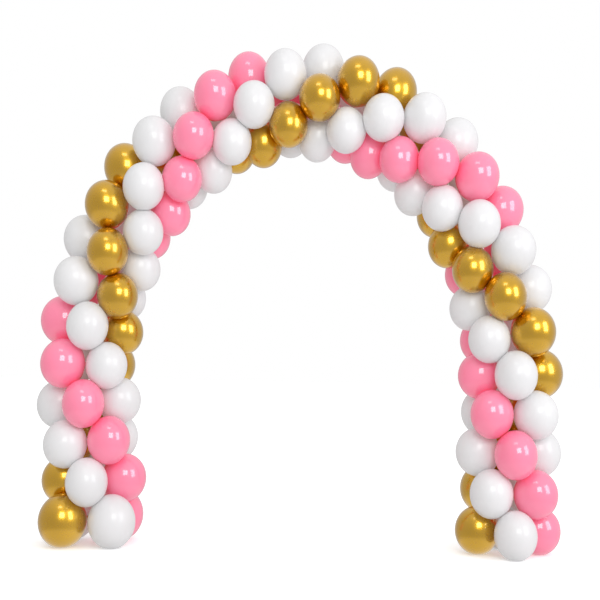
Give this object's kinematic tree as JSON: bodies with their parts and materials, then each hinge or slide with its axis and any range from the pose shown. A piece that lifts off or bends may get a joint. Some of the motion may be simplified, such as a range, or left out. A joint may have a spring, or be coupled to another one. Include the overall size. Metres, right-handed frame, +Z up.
{
  "type": "balloon arch",
  "caption": "Free-standing spiral balloon arch of white, pink and metallic gold latex balloons in nested clusters, to walk under or stand behind at a party.",
  "frame": {"origin": "on the floor, below the middle of the arch's overall box", "axes": "+X from the left foot to the right foot, -Y towards the front, +Z up"},
  "size_m": [3.0641, 0.6095, 2.9679],
  "materials": {
    "white_latex": "opaque white inflated latex, smooth and softly glossy",
    "pink_latex": "pink inflated latex, smooth, glossy and slightly translucent",
    "gold_latex": "gold inflated latex with a mirror-like metallic finish"
  },
  "bodies": {
    "root": {"balloon_cluster_01": "white_latex", "balloon_cluster_02": "white_latex", "balloon_cluster_03": "white_latex", "balloon_cluster_04": "white_latex", "balloon_cluster_05": "white_latex", "balloon_cluster_06": "white_latex", "balloon_cluster_07": "white_latex", "balloon_cluster_08": "white_latex", "balloon_cluster_09": "white_latex", "balloon_cluster_10": "white_latex", "balloon_cluster_11": "white_latex", "balloon_cluster_12": "white_latex", "balloon_cluster_13": "white_latex", "balloon_cluster_14": "white_latex", "balloon_cluster_15": "white_latex", "balloon_cluster_16": "white_latex", "balloon_cluster_17": "white_latex", "balloon_cluster_18": "white_latex", "balloon_cluster_19": "white_latex", "balloon_cluster_20": "white_latex", "balloon_cluster_21": "white_latex", "balloon_cluster_22": "white_latex", "balloon_cluster_23": "white_latex", "balloon_cluster_24": "white_latex", "balloon_cluster_25": "white_latex", "balloon_cluster_26": "white_latex", "balloon_cluster_27": "white_latex", "balloon_cluster_28": "white_latex", "balloon_cluster_29": "white_latex", "balloon_cluster_30": "white_latex"}
  },
  "joints": []
}
